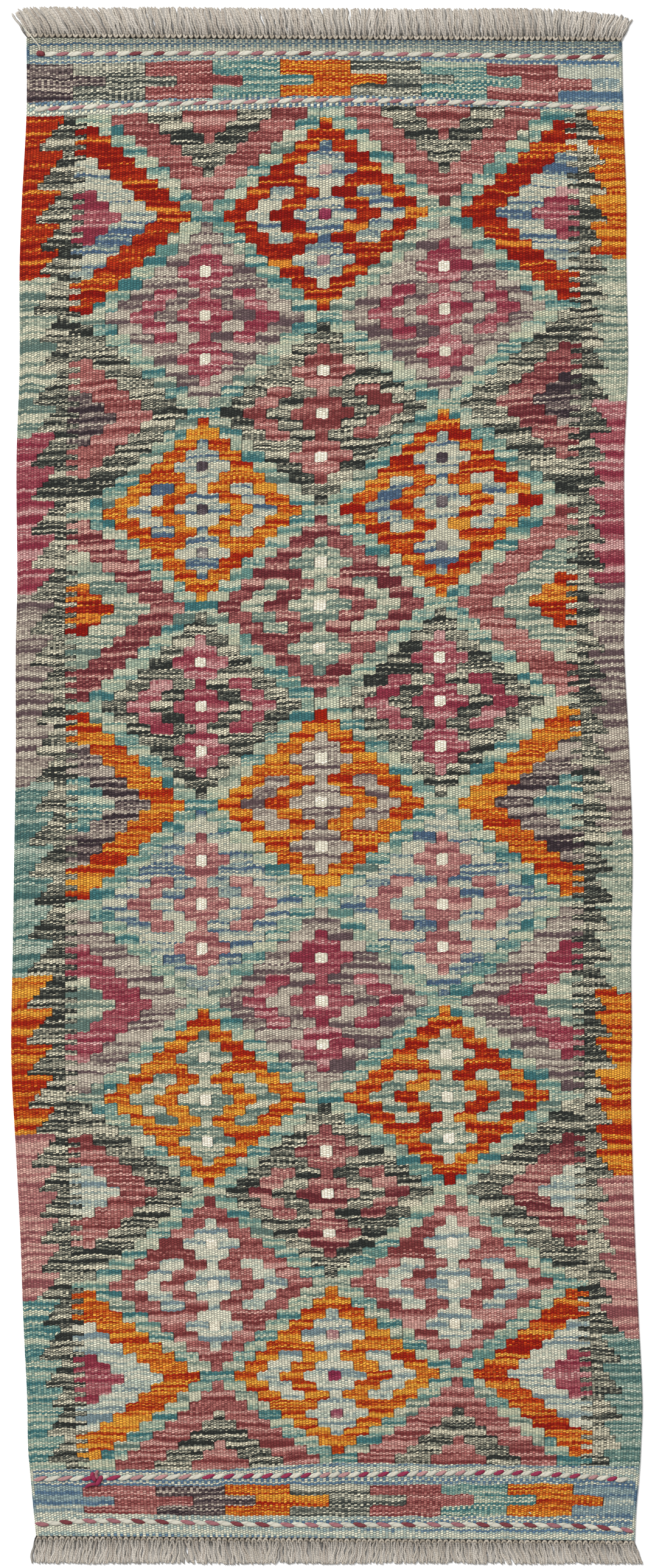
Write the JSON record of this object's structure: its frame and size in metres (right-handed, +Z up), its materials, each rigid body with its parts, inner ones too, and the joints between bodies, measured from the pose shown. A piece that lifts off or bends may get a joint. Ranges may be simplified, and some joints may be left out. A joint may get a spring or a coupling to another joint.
{
  "type": "kilim rug",
  "caption": "Long narrow hand-woven kilim rug, a flat slit-tapestry sheet with twined lines and a knotted warp fringe at each end, lying flat.",
  "frame": {"origin": "on the floor, under the middle of the rug's outline with its fringes", "axes": "+Z up from the floor, +Y along the rug towards its upper end, +X across it to the right, seen from above"},
  "size_m": [0.826, 2.0371, 0.0051],
  "materials": {
    "woven_wool": "matte weft-faced wool in many dyed colours",
    "undyed_warp": "matte undyed plied yarn",
    "twined_yarn": "matte cream and maroon yarns twined together"
  },
  "bodies": {
    "root": {"kilim_cloth": "woven_wool", "fringe_top": "undyed_warp", "fringe_bottom": "undyed_warp", "twined_line_1": "twined_yarn", "twined_line_2": "twined_yarn", "twined_line_3": "twined_yarn", "twined_line_4": "twined_yarn"}
  },
  "joints": []
}
